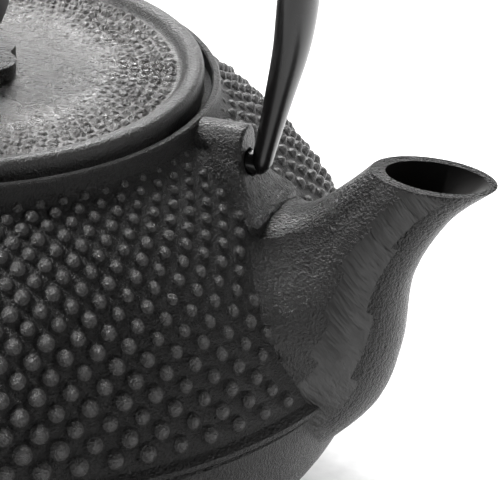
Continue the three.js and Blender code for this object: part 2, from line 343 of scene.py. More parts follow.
# Lid top: about three times lighter than the rim iron, a painted reflection of the back light on the
# lid's upward faces (field, lid hobnails, rosette).
LID_IRON = SandCastIron("lid_top_painted_reflection", (0.036, 0.0335, 0.0318), 0.29, specular=0.85,
                        grain=1600, depth=0.65, wrinkle=1.05)
DRESSED_IRON = GroundIron("ground_iron", (0.012, 0.0114, 0.011), 0.42)
ENAMEL = Finish("inside_enamel", (0.022, 0.0208, 0.02), 0.5)
HANDLE_BLACK = SatinPaint("handle_satin_black", (0.007, 0.0067, 0.0067), 0.27, specular=0.4)
KNOB_BLACK = SatinPaint("knob_satin_black", (0.018, 0.0172, 0.0172), 0.40)
STEEL = Finish("pressed_steel", (0.40, 0.40, 0.405), 0.30, 1.0)
MESH_STEEL = Finish("woven_steel", (0.30, 0.30, 0.305), 0.36, 1.0)
PAPER = Finish("pale_sheet", (0.86, 0.86, 0.86), 0.9)


# ---------------------------------------------------------------- modelling steps


def deselect_all() -> None:
    """Leaves edit mode and deselects every object."""
    if bpy.context.object and bpy.context.object.mode != "OBJECT":
        bpy.ops.object.mode_set(mode="OBJECT")
    bpy.ops.object.select_all(action="DESELECT")


def take(*pieces: Object) -> None:
    """Selects only these pieces and makes the first one active."""
    deselect_all()
    for piece in pieces:
        piece.select_set(True)
    bpy.context.view_layer.objects.active = pieces[0]


def settle(piece: Object) -> None:
    """Applies a piece's place, turn and scale to its mesh."""
    take(piece)
    bpy.ops.object.transform_apply(location=True, rotation=True, scale=True)


def face_outwards(piece: Object) -> None:
    """Merges doubles and turns every face outwards."""
    take(piece)
    bpy.ops.object.mode_set(mode="EDIT")
    bpy.ops.mesh.select_all(action="SELECT")
    bpy.ops.mesh.remove_doubles(threshold=WELD)
    bpy.ops.mesh.normals_make_consistent(inside=False)
    bpy.ops.object.mode_set(mode="OBJECT")


def pick(piece: Object, test: Callable[[Vector], bool]) -> None:
    """Selects, in edit mode, the vertices that pass a test of their place.

    Args:
        piece: The piece in edit mode.
        test: Takes a vertex's place in millimetres.
    """
    bpy.ops.mesh.select_mode(type="VERT")
    bpy.ops.mesh.select_all(action="DESELECT")
    grid = bmesh.from_edit_mesh(piece.data)
    for vertex in grid.verts:
        if test(vertex.co / MM):
            vertex.select_set(True)
    grid.select_flush(True)
    bmesh.update_edit_mesh(piece.data)


def turn(name: str, outline: Sequence[Point], steps: int = TURN_STEPS) -> Object:
    """Draws an outline of radius and height and spins it about the Z axis.

    Args:
        name: Name of the piece.
        outline: Radius and height of each point. An outline off the axis is closed on itself.
        steps: Steps of the spin.

    Returns:
        The turned piece, closed and facing outwards.
    """
    closed = list(outline)
    if closed[0][0] > 0:
        closed.append(closed[0])
    deselect_all()
    (radius, height), *others = closed
    bpy.ops.mesh.primitive_plane_add(size=MM, location=(radius * MM, 0, height * MM))
    piece = bpy.context.object
    piece.name = name
    settle(piece)
    bpy.ops.object.mode_set(mode="EDIT")
    bpy.ops.mesh.select_all(action="SELECT")
    bpy.ops.mesh.merge(type="CENTER")
    for next_radius, next_height in others:
        step = ((next_radius - radius) * MM, 0, (next_height - height) * MM)
        bpy.ops.mesh.extrude_vertices_move(TRANSFORM_OT_translate={"value": step})
        radius, height = next_radius, next_height
    bpy.ops.mesh.select_all(action="SELECT")
    bpy.ops.mesh.remove_doubles(threshold=WELD)
    bpy.ops.mesh.spin(steps=steps, angle=2 * math.pi, center=(0, 0, 0), axis=(0, 0, 1))
    bpy.ops.object.mode_set(mode="OBJECT")
    face_outwards(piece)
    return piece


@dataclass(frozen=True)
class Ring:
    """An oval section across the XZ plane.

    Attributes:
        x: Place of the centre along X.
        z: Height of the centre.
        tilt: Angle of the long axis above +X, in radians.
        long: Half of the axis in the XZ plane.
        across: Half of the axis along Y.
    """

    x: float
    z: float
    tilt: float
    long: float
    across: float

    @classmethod
    def on_chord(cls, start: Point, end: Point, across: float) -> Ring:
        """Makes the ring whose long axis runs from one point of the XZ plane to another."""
        run, rise = end[0] - start[0], end[1] - start[1]
        return cls((start[0] + end[0]) / 2, (start[1] + end[1]) / 2, math.atan2(rise, run),
                   math.hypot(run, rise) / 2, across)

    @property
    def centre(self) -> Vector:
        """The centre, in metres."""
        return Vector((self.x, 0, self.z)) * MM

    def local(self, place: Vector) -> tuple[float, float, float]:
        """Measures a place against this ring.

        Args:
            place: The place, in millimetres.

        Returns:
            Distances along the long axis, along Y and out of the ring's plane.
        """
        offset = place - Vector((self.x, 0, self.z))
        along = offset.x * math.cos(self.tilt) + offset.z * math.sin(self.tilt)
        out = -offset.x * math.sin(self.tilt) + offset.z * math.cos(self.tilt)
        return along, offset.y, out

    def angle_of(self, place: Vector) -> tuple[float, float]:
        """Where a place lies on this ring.

        Args:
            place: The place, in metres.

        Returns:
            The angle from the long axis's end towards +Y, and how far the place is from the ring's oval.
        """
        along, side, out = self.local(place / MM)
        share = math.hypot(along / self.long, side / self.across)
        return math.atan2(side / self.across, along / self.long), abs(out) + abs(share - 1)

    def point_at(self, angle: float) -> Vector:
        """The place on the ring at an angle, in metres."""
        along, side = self.long * math.cos(angle), self.across * math.sin(angle)
        x, z = self.x + along * math.cos(self.tilt), self.z + along * math.sin(self.tilt)
        return Vector((x, side, z)) * MM


def loft(name: str, rings: Sequence[Ring], sides: int) -> Object:
    """Extrudes an oval from ring to ring, turning and resizing it on the way.

    Args:
        name: Name of the piece.
        rings: The sections, in order.
        sides: Facets round each section.

    Returns:
        The closed piece.
    """
    deselect_all()
    first = rings[0]
    bpy.ops.mesh.primitive_circle_add(vertices=sides, radius=MM, fill_type="NGON", location=first.centre,
                                      rotation=(0, -first.tilt, 0))
    piece = bpy.context.object
    piece.name = name
    piece.scale = (first.long, first.across, 1)
    settle(piece)
    bpy.ops.object.mode_set(mode="EDIT")
    bpy.ops.mesh.select_all(action="SELECT")
    for here, there in zip(rings, rings[1:]):
        centre = here.centre
        bpy.ops.mesh.extrude_region_move(TRANSFORM_OT_translate={"value": (0, 0, 0)})
        about = {"orient_axis": "Y", "orient_type": "GLOBAL", "center_override": centre}
        bpy.ops.transform.rotate(value=-here.tilt, **about)
        bpy.ops.transform.resize(value=(there.long / here.long, there.across / here.across, 1),
                                 center_override=centre)
        bpy.ops.transform.rotate(value=there.tilt, **about)
        bpy.ops.transform.translate(value=there.centre - centre)
    bpy.ops.object.mode_set(mode="OBJECT")
    face_outwards(piece)
    return piece


def spline(stations: Sequence[Sequence[float]], share: float) -> tuple[float, ...]:
    """A point on the smooth curve through a few stations.

    Args:
        stations: The points that the curve passes through.
        share: Way along the curve, from 0 to 1.

    Returns:
        The point.
    """
    place = share * (len(stations) - 1)
    index = min(int(place), len(stations) - 2)
    part = place - index
    around = [stations[min(max(index + shift, 0), len(stations) - 1)] for shift in (-1, 0, 1, 2)]

    def blend(before: float, start: float, end: float, after: float) -> float:
        """One coordinate between start and end."""
        leave, arrive = (end - before) / 2, (after - start) / 2
        return ((2 * start - 2 * end + leave + arrive) * part ** 3
                + (-3 * start + 3 * end - 2 * leave - arrive) * part ** 2 + leave * part + start)

    return tuple(blend(*values) for values in zip(*around))


def arc(centre: Point, radius: float, start: float, end: float, steps: int) -> list[Point]:
    """Points along a circular arc.

    Args:
        centre: Radius and height of the arc's centre.
        radius: Radius of the arc.
        start: First angle above the radial direction, in degrees.
        end: Last angle, in degrees.
        steps: Number of chords.

    Returns:
        The points, as radius and height.
    """
    angles = [math.radians(start + (end - start) * step / steps) for step in range(steps + 1)]
    return [(centre[0] + radius * math.cos(a), centre[1] + radius * math.sin(a)) for a in angles]


def combine(piece: Object, tool: Object, act: Act) -> None:
    """Joins or cuts a piece with a tool, and removes the tool.

    Args:
        piece: The piece that stays.
        tool: The solid that acts on it.
        act: Whether it joins or cuts.
    """
    take(piece)
    modifier = piece.modifiers.new("combine", "BOOLEAN")
    modifier.operation = act.value
    modifier.solver = "MANIFOLD"
    modifier.object = tool
    bpy.ops.object.modifier_apply(modifier=modifier.name)
    bpy.data.objects.remove(tool)


def round_edges(piece: Object, width: float, segments: int = 2, angle: float = 35) -> None:
    """Rounds the edges that are sharper than an angle.

    Args:
        piece: The piece.
        width: Width of the rounding, in millimetres.
        segments: Facets across it.
        angle: Least angle that counts as an edge, in degrees.
    """
    take(piece)
    modifier = piece.modifiers.new("round", "BEVEL")
    modifier.width = width * MM
    modifier.segments = segments
    modifier.limit_method = "ANGLE"
    modifier.angle_limit = math.radians(angle)
    bpy.ops.object.modifier_apply(modifier=modifier.name)


def scatter(name: str, pattern: Object, places: Iterable[Matrix]) -> Object:
    """Copies a pattern to every place and joins the copies.

    Args:
        name: Name of the joined piece.
        pattern: The shape to copy, modelled at the origin. It is removed.
        places: Where each copy goes.

    Returns:
        The joined piece.
    """
    copies = []
    for place in places:
        copy = pattern.copy()
        copy.data = pattern.data.copy()
        copy.matrix_world = place
        bpy.context.scene.collection.objects.link(copy)
        copies.append(copy)
    take(*copies)
    bpy.ops.object.join()
    piece = bpy.context.object
    piece.name = name
    settle(piece)
    bpy.data.objects.remove(pattern)
    return piece


def paint(piece: Object, *finishes: Finish) -> None:
    """Gives a piece its material slots in order."""
    piece.data.materials.clear()
    for finish in finishes:
        piece.data.materials.append(finish.build())


def dress(piece: Object, body: Body, nodes: Sequence[str] = (), smooth: float = 32) -> None:
    """Shades a finished piece and says what it rides on and stands for.

    Args:
        piece: The finished piece.
        body: The body that carries it.
        nodes: CAD nodes that it stands for.
        smooth: Greatest angle that is shaded smooth, in degrees.
    """
    take(piece)
    bpy.ops.object.shade_smooth_by_angle(angle=math.radians(smooth))
    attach(piece, body.value)
    if nodes:
        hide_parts(*nodes)
    LOG.info("%s: %d faces on %s", piece.name, len(piece.data.polygons), body.value)


def low_high(node: str) -> tuple[Vector, Vector]:
    """Lowest and highest corners of a CAD node, in millimetres."""
    low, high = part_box(node)
    return Vector(low) / MM, Vector(high) / MM


def dome(name: str, rings: Sequence[Point], sides: int) -> Object:
    """Models a small round boss of unit radius, open below.

    Args:
        name: Name of the pattern.
        rings: Radius and height of each ring, from the foot up. The last one closes at a point.
        sides: Facets round the boss.

    Returns:
        The boss, one metre in radius, for scattering.
    """
    deselect_all()
    bpy.ops.mesh.primitive_circle_add(vertices=sides, radius=rings[0][0], fill_type="NOTHING",
                                      location=(0, 0, rings[0][1]))
    boss = bpy.context.object
    boss.name = name
    settle(boss)
    bpy.ops.object.mode_set(mode="EDIT")
    bpy.ops.mesh.select_all(action="SELECT")
    for (radius, height), (next_radius, next_height) in zip(rings, rings[1:]):
        rise = (0, 0, next_height - height)
        bpy.ops.mesh.extrude_region_move(TRANSFORM_OT_translate={"value": rise})
        gain = next_radius / radius
        bpy.ops.transform.resize(value=(gain, gain, 1), center_override=(0, 0, next_height))
    bpy.ops.mesh.edge_face_add()
    bpy.ops.mesh.poke()
    bpy.ops.mesh.select_all(action="SELECT")
    bpy.ops.mesh.normals_make_consistent(inside=False)
    bpy.ops.object.mode_set(mode="OBJECT")
    return boss


# ---------------------------------------------------------------- the pot


@dataclass
class Pot:
    """The casting: shoulder and bowl, hobnails, spout and two ears."""

    foot_radius: float = 39.4
    foot_height: float = 2
    seam_radius: float = 76.2
    seam_low: float = 36.8
    seam_high: float = 39
    rim_of_bowl: float = 74.4
    bowl_taper: float = 1.4
    wall: float = 3.8
    floor: float = 4.5
    shoulder_centre: Point = (13.9, 24.9)
    shoulder_radius: float = 62.5
    collar_radius: float = 48.2
    collar_foot: float = 76.6
    lid_seat_radius: float = 46.8
    lid_seat: float = 78.6
    infuser_seat_radius: float = 43.3
    infuser_seat: float = 77.6
    throat_radius: float = 40.6
    rows: int = 18
    bumps_per_row: int = 76
    row_spacing: float = 0.493
    first_row: float = 42
    phase: float = -0.522
    bump_share: float = 0.285
    least_bump: float = 0.72
    small_bumps: Point = (12, 45)
    bump_seed: int = 18
    bump_outline: tuple[Point, ...] = (
        (1.45, -0.12), (1.15, 0.03), (0.92, 0.26), (0.74, 0.56), (0.46, 0.8), (0.18, 0.92))
    ear_room: Point = (3, 5.2)
    ear_room_from: float = 68.5
    spout_side: float = 40
    section_reach: float = 2.5
    ear_half: float = 3.7
    ear_low_end: float = 64
    ear_flare: float = 4.5
    ear_worn_from: float = 76.5
    pivot_drop: float = 6.4
    peg_hole: float = 2.4
    spout_steps: int = 44
    spout_sides: int = 48
    flare: float = 7
    flare_gain: float = 0.36
    flare_from: float = 40
    flare_rise: float = 12
    ground_edge: tuple[float, float, float] = (92, 50, 1.1)
    ground_below: Point = (27, 14)
    ground_above: Point = (24, 8)
    ground_fade: Point = (0.12, 0.2)
    ground_from: float = 0.03
    ground_to: float = 0.93
    worn_to: float = 0.8
    worn_border: float = 0.2

    ridge: tuple[Point, ...] = ((78.3, 77.7), (74, 73.6), (68, 68.8), (62, 66.6), (57, 66.2), (52, 66))
    keel: tuple[Point, ...] = (
        (99.9, 76.6), (92.2, 69.8), (85.9, 58.5), (84, 45), (80.2, 34.5), (72.2, 26.2))
    half_width: tuple[float, ...] = (7.4, 7.9, 9.6, 12.8, 17.2, 22)
    bore_from: tuple[float, ...] = (0.115, 0.13, 0.17, 0.22, 0.24, 0.26)
    bore_to: tuple[float, ...] = (0.93, 0.87, 0.83, 0.66, 0.58, 0.54)
    bore_half: tuple[float, ...] = (5.7, 5.8, 6.6, 7.6, 7.6, 7.6)

    def __post_init__(self) -> None:
        """Takes the collar's height and the ear's corner from the frame, and lays out the spout."""
        self.collar_top = low_high("pot_body")[1].z
        self.ear_high = low_high("front_ear")[1]
        self.pivot_height = self.ear_high.z - self.pivot_drop
        self.rings = self.spout_rings()

    # outlines

    def bowl(self, foot: Point, rim: Point, steps: int = 22) -> list[Point]:
        """Points of the tapered bowl from its foot to its rim."""
        angles = [math.pi / 2 * step / steps for step in range(steps + 1)]
        return [(foot[0] + (rim[0] - foot[0]) * math.sin(a) ** self.bowl_taper,
                 rim[1] - (rim[1] - foot[1]) * math.cos(a)) for a in angles]

    def outside(self, grow: float = 0) -> list[Point]:
        """Outline of the outside, from the centre of the underside to the top of the collar.

        Args:
            grow: Distance to move the outline outwards.

        Returns:
            The outline.
        """
        return [
            (0, -grow), (self.foot_radius - 0.7, -grow),
            *self.bowl((self.foot_radius + 0.6 + grow, self.foot_height - grow),
                       (self.rim_of_bowl + grow, self.seam_low - 1)),
            (self.rim_of_bowl - 0.5 + grow, self.seam_low - 0.4),
            (self.rim_of_bowl - 0.5 + grow, self.seam_low + 0.4),
            (self.seam_radius - 0.3 + grow, self.seam_low + 0.7),
            (self.seam_radius + grow, self.seam_low + 1),
            (self.seam_radius - 0.1 + grow, self.seam_high - 0.5),
            (self.seam_radius - 0.6 + grow, self.seam_high - 0.1),
            *arc(self.shoulder_centre, self.shoulder_radius + grow, 13.6, 54.5, 30),
            (self.collar_radius + 0.6 + grow, self.collar_foot + 0.7),
            (self.collar_radius + 0.12 + grow, self.collar_foot + 1.4),
            (self.collar_radius + grow, self.collar_foot + 2.1),
            (self.collar_radius + grow, self.collar_top - 0.5),
            (self.collar_radius - 0.25 + grow, self.collar_top - 0.1),
            (self.collar_radius - 0.6 + grow, self.collar_top),
        ]

    def shell(self) -> None:
        """Turns the pot with its cavity, and opens it towards the spout."""
        inner_rim = self.rim_of_bowl - self.wall
        inside = [
            (self.lid_seat_radius + 0.25, self.collar_top),
            (self.lid_seat_radius, self.collar_top - 0.3),
            (self.lid_seat_radius, self.lid_seat), (self.infuser_seat_radius, self.lid_seat),
            (self.infuser_seat_radius, self.infuser_seat), (self.throat_radius + 0.3, self.infuser_seat),
            (self.throat_radius, self.infuser_seat - 0.3),
            *arc(self.shoulder_centre, self.shoulder_radius - 4.1, 61.5, 14, 24),
            *reversed(self.bowl((self.foot_radius - self.wall, self.floor),
                                (inner_rim, self.seam_low), 18)),
            (0, self.floor),
        ]
        pot = turn("pot_shell", [*self.outside(), *inside])
        paint(pot, BODY_IRON, DRESSED_IRON, ENAMEL, WORN_IRON)
        for face in pot.data.polygons:
            if self.lines_cavity(face):
                face.material_index = PotFace.INSIDE
        combine(pot, self.bore(), Act.CUT)
        dress(pot, Body.POT, ("pot_body", "pot_base"))

    def lines_cavity(self, face: MeshPolygon) -> bool:
        """Whether a face of the shell lines the inside of the pot.

        Args:
            face: A face of the turned shell.

        Returns:
            True for the floor, the bowl's inner wall and the underside of the shoulder.
        """
        place = face.center / MM
        facing_in = place.x * face.normal.x + place.y * face.normal.y < 0
        if place.z > self.seam_low:
            in_wall = self.from_shoulder(place) < self.shoulder_radius - self.wall / 2
            return in_wall and (facing_in or face.normal.z < 0)
        near = 0.1
        on_floor = abs(place.z - self.floor) < near and face.normal.z > 0.2
        return on_floor or facing_in and place.z > self.floor - near

    def from_shoulder(self, place: Vector) -> float:
        """Distance of a place, in millimetres, from the centre of the shoulder's arc."""
        radius = math.hypot(place.x, place.y)
        return math.hypot(radius - self.shoulder_centre[0], place.z - self.shoulder_centre[1])

    # spout

    def spout_rings(self) -> list[Ring]:
        """Outer sections of the spout from the mouth to the root."""
        halves = [(value,) for value in self.half_width]
        shares = [step / self.spout_steps for step in range(self.spout_steps + 1)]
        return [Ring.on_chord(spline(self.ridge, s), spline(self.keel, s), spline(halves, s)[0])
                for s in shares]

    def bore(self) -> Object:
        """The solid that the spout's channel is cut with."""
        rings = []
        widths = list(zip(self.bore_from, self.bore_to, self.bore_half))
        for step in range(self.spout_steps + 1):
            share = step / self.spout_steps
            start, end, half = spline(widths, share)
            ridge, keel = Vector(spline(self.ridge, share)), Vector(spline(self.keel, share))
            rings.append(Ring.on_chord(ridge.lerp(keel, start), ridge.lerp(keel, end), half))
        top = rings[0]
        above = Ring(top.x + 1, top.z + 5, top.tilt, top.long, top.across)
        solid = loft("bore", [above, *rings], 40)
        paint(solid, ROUGH_IRON, DRESSED_IRON, ENAMEL, WORN_IRON)
        for face in solid.data.polygons:
            face.material_index = PotFace.INSIDE
        return solid

    def grind_flanks(self, spout: Object) -> None:
        """Flattens two facets on each flank that meet in an edge, and marks them as ground.

        Args:
            spout: The lofted spout.
        """
        rings = self.rings
        homes = {}
        for vertex in spout.data.vertices:
            index = min(range(len(rings)), key=lambda k: rings[k].angle_of(vertex.co)[1])
            angle = rings[index].angle_of(vertex.co)[0]
            share = index / self.spout_steps
            homes[vertex.index] = (share, abs(angle))
            depth = clamp(share / self.ground_fade[0]) * clamp((1 - share) / self.ground_fade[1])
            lower, edge, upper = self.ground_band(share)
            for start, end in ((lower, edge), (upper, edge)):
                part = (abs(angle) - start) / (end - start)
                if 0 < part < 1:
                    sign = math.copysign(1, angle)
                    first, last = rings[index].point_at(sign * start), rings[index].point_at(sign * end)
                    flat = first.lerp(last, part)
                    vertex.co = vertex.co.lerp(flat, depth * (part if start == upper else 1))
        for face in spout.data.polygons:
            shares, angles = zip(*(homes[v] for v in face.vertices))
            share, angle = sum(shares) / len(shares), sum(angles) / len(angles)
            lower, edge, upper = self.ground_band(share)
            if self.ground_from < share < self.ground_to and lower < angle < upper:
                face.material_index = PotFace.DRESSED if angle < (edge + upper) / 2 else PotFace.WORN
            elif self.ground_from < share < self.worn_to and upper <= angle < upper + self.worn_border:
                face.material_index = PotFace.WORN

    def ground_band(self, share: float) -> tuple[float, float, float]:
        """Where the grinder went.

        Args:
            share: Way from the mouth to the root, from 0 to 1.

        Returns:
            Angles of the band's lower border, of the edge along it and of its upper border.
        """
        start, swing, bend = self.ground_edge
        edge = start - swing * share ** bend
        below = self.ground_below[0] - self.ground_below[1] * share
        above = self.ground_above[0] + self.ground_above[1] * share
        return math.radians(edge - below), math.radians(edge), math.radians(edge + above)

    def above_skin(self, place: Vector) -> float:
        """Distance of a place outside the pot's skin, in millimetres."""
        if place.z > self.seam_low:
            return self.from_shoulder(place) - self.shoulder_radius
        drop = clamp((self.seam_low - place.z) / (self.seam_low - self.foot_height))
        reach = math.sqrt(1 - drop * drop) ** self.bowl_taper
        foot = self.foot_radius + 0.6
        return math.hypot(place.x, place.y) - (foot + (self.rim_of_bowl - foot) * reach)

    def flare_root(self, spout: Object) -> None:
        """Spreads the upper root of the spout so that it runs into the pot in a hollow curve."""
        for vertex in spout.data.vertices:
            place = vertex.co / MM
            share = 1 - max(self.above_skin(place), 0) / self.flare
            share *= clamp((place.z - self.flare_from) / self.flare_rise)
            if share > 0:
                ring = min(self.rings, key=lambda item: item.angle_of(vertex.co)[1])
                outward = (place - Vector((ring.x, 0, ring.z))).normalized()
                weight = min(1, abs(place.y) / (0.6 * ring.across))
                vertex.co += outward * (self.flare * self.flare_gain * weight * share * share * MM)

    def spout(self) -> None:
        """Lofts the spout, grinds its flanks and mouth, bores it and trims it inside the pot's wall."""
        spout = loft("spout_casting", self.rings, self.spout_sides)
        paint(spout, ROUGH_IRON, DRESSED_IRON, ENAMEL, WORN_IRON)
        self.grind_flanks(spout)
        self.flare_root(spout)
        mouth = max(spout.data.polygons, key=lambda face: face.center.z)
        mouth.material_index = PotFace.DRESSED
        combine(spout, self.bore(), Act.CUT)
        inner = [*self.outside(-1.4), (0, self.collar_top - 1.4)]
        combine(spout, turn("wall_middle", inner, 96), Act.CUT)
        round_edges(spout, 0.3, 2, 50)
        dress(spout, Body.POT, ("spout",))

    # hobnails

    def in_the_way(self, place: Vector, size: float) -> bool:
        """Whether a hobnail would run into the spout's root or an ear.

        Args:
            place: Centre of the hobnail's foot, in millimetres.
            size: Its radius.

        Returns:
            True where the casting has no hobnail.
        """
        along, aside = self.ear_room
        near_ear = abs(place.y) < aside + size and abs(place.x) < self.ear_high.x + along
        if near_ear and place.z > self.ear_room_from:
            return True
        if place.x < self.spout_side:
            return False
        for ring in self.rings[::2]:
            along, side, out = ring.local(place)
            reach = math.hypot(along / (ring.long + size), side / (ring.across + size * 0.7))
            if abs(out) < self.section_reach and reach < 1:
                return True
        return False

    def fullness(self, around: float) -> float:
        """Share of its full size that a hobnail has: those beside the spout are smaller."""
        away = abs((around + math.pi) % (2 * math.pi) - math.pi)
        start, span = self.small_bumps
        return self.least_bump + (1 - self.least_bump) * ease(clamp((math.degrees(away) - start) / span))

    def hobnails(self) -> None:
        """Models one hobnail and sets it in staggered rows round the shoulder."""
        boss = dome("hobnail", self.bump_outline, 13)
        paint(boss, BODY_IRON, HOBNAIL_TOP_HIGHLIGHT_IRON)
        # Painted highlight: faces of the boss whose centre is above 0.3 take the lighter top iron, and
        # the foot keeps the body iron.
        for face in boss.data.polygons:
            face.material_index = int(face.center.z > 0.3)
        draw = random.Random(self.bump_seed)
        places = []
        radius = self.shoulder_radius
        angle = math.asin((self.first_row - self.shoulder_centre[1]) / radius)
        for row in range(self.rows):
            reach = self.shoulder_centre[0] + radius * math.cos(angle)
            height = self.shoulder_centre[1] + radius * math.sin(angle)
            pitch = 2 * math.pi * (reach + 0.8) / self.bumps_per_row
            size = self.bump_share * pitch
            for column in range(self.bumps_per_row):
                around = self.phase + 2 * math.pi * (column + row / 2) / self.bumps_per_row
                around += draw.uniform(-0.02, 0.02) * pitch / reach
                outward = Vector((math.cos(angle) * math.cos(around), math.cos(angle) * math.sin(around),
                                  math.sin(angle)))
                foot = Vector((reach * math.cos(around), reach * math.sin(around), height))
                if self.in_the_way(foot, size):
                    continue
                scale = size * draw.uniform(0.92, 1.08) * self.fullness(around)
                lean = outward.to_track_quat("Z", "X").to_matrix().to_4x4()
                grow = Matrix.Diagonal((scale * MM, scale * MM, scale * draw.uniform(0.88, 1.12) * MM, 1))
                places.append(Matrix.Translation(foot * MM) @ lean @ grow)
            angle += self.row_spacing * pitch / radius
        piece = scatter("pot_hobnails", boss, places)
        dress(piece, Body.POT, smooth=60)

    # ears

    def ear(self, name: str, node: str, side: int) -> None:
        """Models an ear from a block: arched top, flared foot and a hole for the peg.

        Args:
            name: Name of the piece.
            node: CAD node that it stands for.
            side: 1 at the spout, -1 at the back.
        """
        inner, outer = self.collar_radius - 1.2, self.ear_high.x
        low, high, half = self.ear_low_end, self.ear_high.z, self.ear_half
        deselect_all()
        middle = ((inner + outer) / 2 * MM, 0, (low + high) / 2 * MM)
        bpy.ops.mesh.primitive_cube_add(size=MM, location=middle)
        block = bpy.context.object
        block.name = name
        block.scale = (outer - inner, 2 * half, high - low)
        settle(block)
        bpy.ops.object.mode_set(mode="EDIT")
        for flank in (1, -1):
            pick(block, lambda place, flank=flank: (place.z > high - 0.01
                                                    and flank * place.y > half - 0.01))
            bpy.ops.mesh.bevel(offset=(half - 0.25) * MM, segments=8, affect="EDGES")
        for height in range(round(low) + 1, round(high) - 4):
            bpy.ops.mesh.select_all(action="SELECT")
            bpy.ops.mesh.bisect(plane_co=(0, 0, height * MM), plane_no=(0, 0, 1))
        for reach in range(round(inner) + 1, round(outer)):
            bpy.ops.mesh.select_all(action="SELECT")
            bpy.ops.mesh.bisect(plane_co=(reach * MM, 0, 0), plane_no=(1, 0, 0))
        bpy.ops.object.mode_set(mode="OBJECT")
        round_edges(block, 0.7, 3, 50)
        for vertex in block.data.vertices:
            place = vertex.co / MM
            share = min(1.6, 1 - self.above_skin(place) / self.ear_flare)
            if share > 0 and place.z < high - half:
                spread = self.ear_flare * 0.5 * share * share * MM
                vertex.co.y += spread * place.y / half
                if place.x > outer - 1:
                    vertex.co.x += spread
        take(block)
        bpy.ops.mesh.primitive_cylinder_add(vertices=32, radius=self.peg_hole * MM, depth=10 * MM,
                                            location=(outer * MM, 0, self.pivot_height * MM),
                                            rotation=(0, math.pi / 2, 0))
        combine(block, bpy.context.object, Act.CUT)
        paint(block, ROUGH_IRON, WORN_IRON)
        for face in block.data.polygons:
            if face.center.z > self.ear_worn_from * MM:
                face.material_index = 1
        if side < 0:
            block.rotation_euler.z = math.pi
            settle(block)
        dress(block, Body.POT, (node,), smooth=40)

    def build(self) -> None:
        """Builds every piece of the pot."""
        self.shell()
        self.hobnails()
        self.spout()
        self.ear("front_ear_casting", "front_ear", 1)
        self.ear("rear_ear_casting", "rear_ear", -1)


# ---------------------------------------------------------------- the handle


@dataclass
class Bail:
    """The bail handle: an oval tube with a slim foot and a peg at each ear."""

    waist: Point = (65, 108)
    thick: float = 3.3
    wide: float = 5.6
    foot_thick: float = 1.75
    foot_wide: float = 2.3
    taper_height: float = 34
    tip_height: float = 2.2
    peg_radius: float = 2
    side_steps: int = 26
    arch_steps: int = 22
    sides: int = 32

    def __post_init__(self) -> None:
        """Takes the height of the arch and the pivot from the frame."""
        low, high = low_high("handle")
        self.top = high.z - self.thick
        self.pivot = low.z + 1.95
        self.ear_face = low_high("front_ear")[1].x

    def path(self) -> list[Point]:
        """Centre line of one half, from the foot to the middle of the arch."""
        stations = ((58.6, self.pivot - 1.7), (59.3, self.pivot + 2), (61.4, 85.5), (63.9, 97),
                    self.waist)
        points = [spline(stations, step / self.side_steps) for step in range(self.side_steps)]
        for step in range(self.arch_steps + 1):
            angle = math.pi / 2 * step / self.arch_steps
            points.append((self.waist[0] * math.cos(angle),
                           self.waist[1] + (self.top - self.waist[1]) * math.sin(angle)))
        return points

    def tube(self) -> None:
        """Lofts the whole bail, rounded off at both feet."""
        half = self.path()
        points = half + [(-x, z) for x, z in reversed(half[:-1])]
        foot = half[0][1]
        rings = []
        tilt = 0.0
        for index, (x, z) in enumerate(points):
            before, after = points[max(index - 1, 0)], points[min(index + 1, len(points) - 1)]
            aim = math.atan2(after[1] - before[1], after[0] - before[0]) - math.pi / 2
            tilt = aim + 2 * math.pi * round((tilt - aim) / (2 * math.pi))
            rise = z - foot
            grow = ease(clamp(rise / self.taper_height))
            end = math.sqrt(min(1, 0.1 + rise / self.tip_height))
            rings.append(Ring(x, z, tilt, end * (self.foot_thick + (self.thick - self.foot_thick) * grow),
                              end * (self.foot_wide + (self.wide - self.foot_wide) * grow)))
        tube = loft("bail_handle", rings, self.sides)
        round_edges(tube, 0.4, 2, 60)
        paint(tube, HANDLE_BLACK)
        dress(tube, Body.HANDLE, ("handle",), smooth=50)

    def peg(self, name: str, side: int) -> None:
        """Models the peg that turns in an ear's hole."""
        inner, outer = self.ear_face - 4.2, self.ear_face + 2.2
        deselect_all()
        middle = (side * (inner + outer) / 2 * MM, 0, self.pivot * MM)
        bpy.ops.mesh.primitive_cylinder_add(vertices=32, radius=self.peg_radius * MM,
                                            depth=(outer - inner) * MM, location=middle,
                                            rotation=(0, math.pi / 2, 0))
        peg = bpy.context.object
        peg.name = name
        settle(peg)
        round_edges(peg, 0.4)
        paint(peg, HANDLE_BLACK)
        dress(peg, Body.HANDLE)

    def build(self) -> None:
        """Builds the bail and its pegs."""
        self.tube()
        self.peg("handle_peg_front", 1)
        self.peg("handle_peg_rear", -1)


# ---------------------------------------------------------------- lid and knob


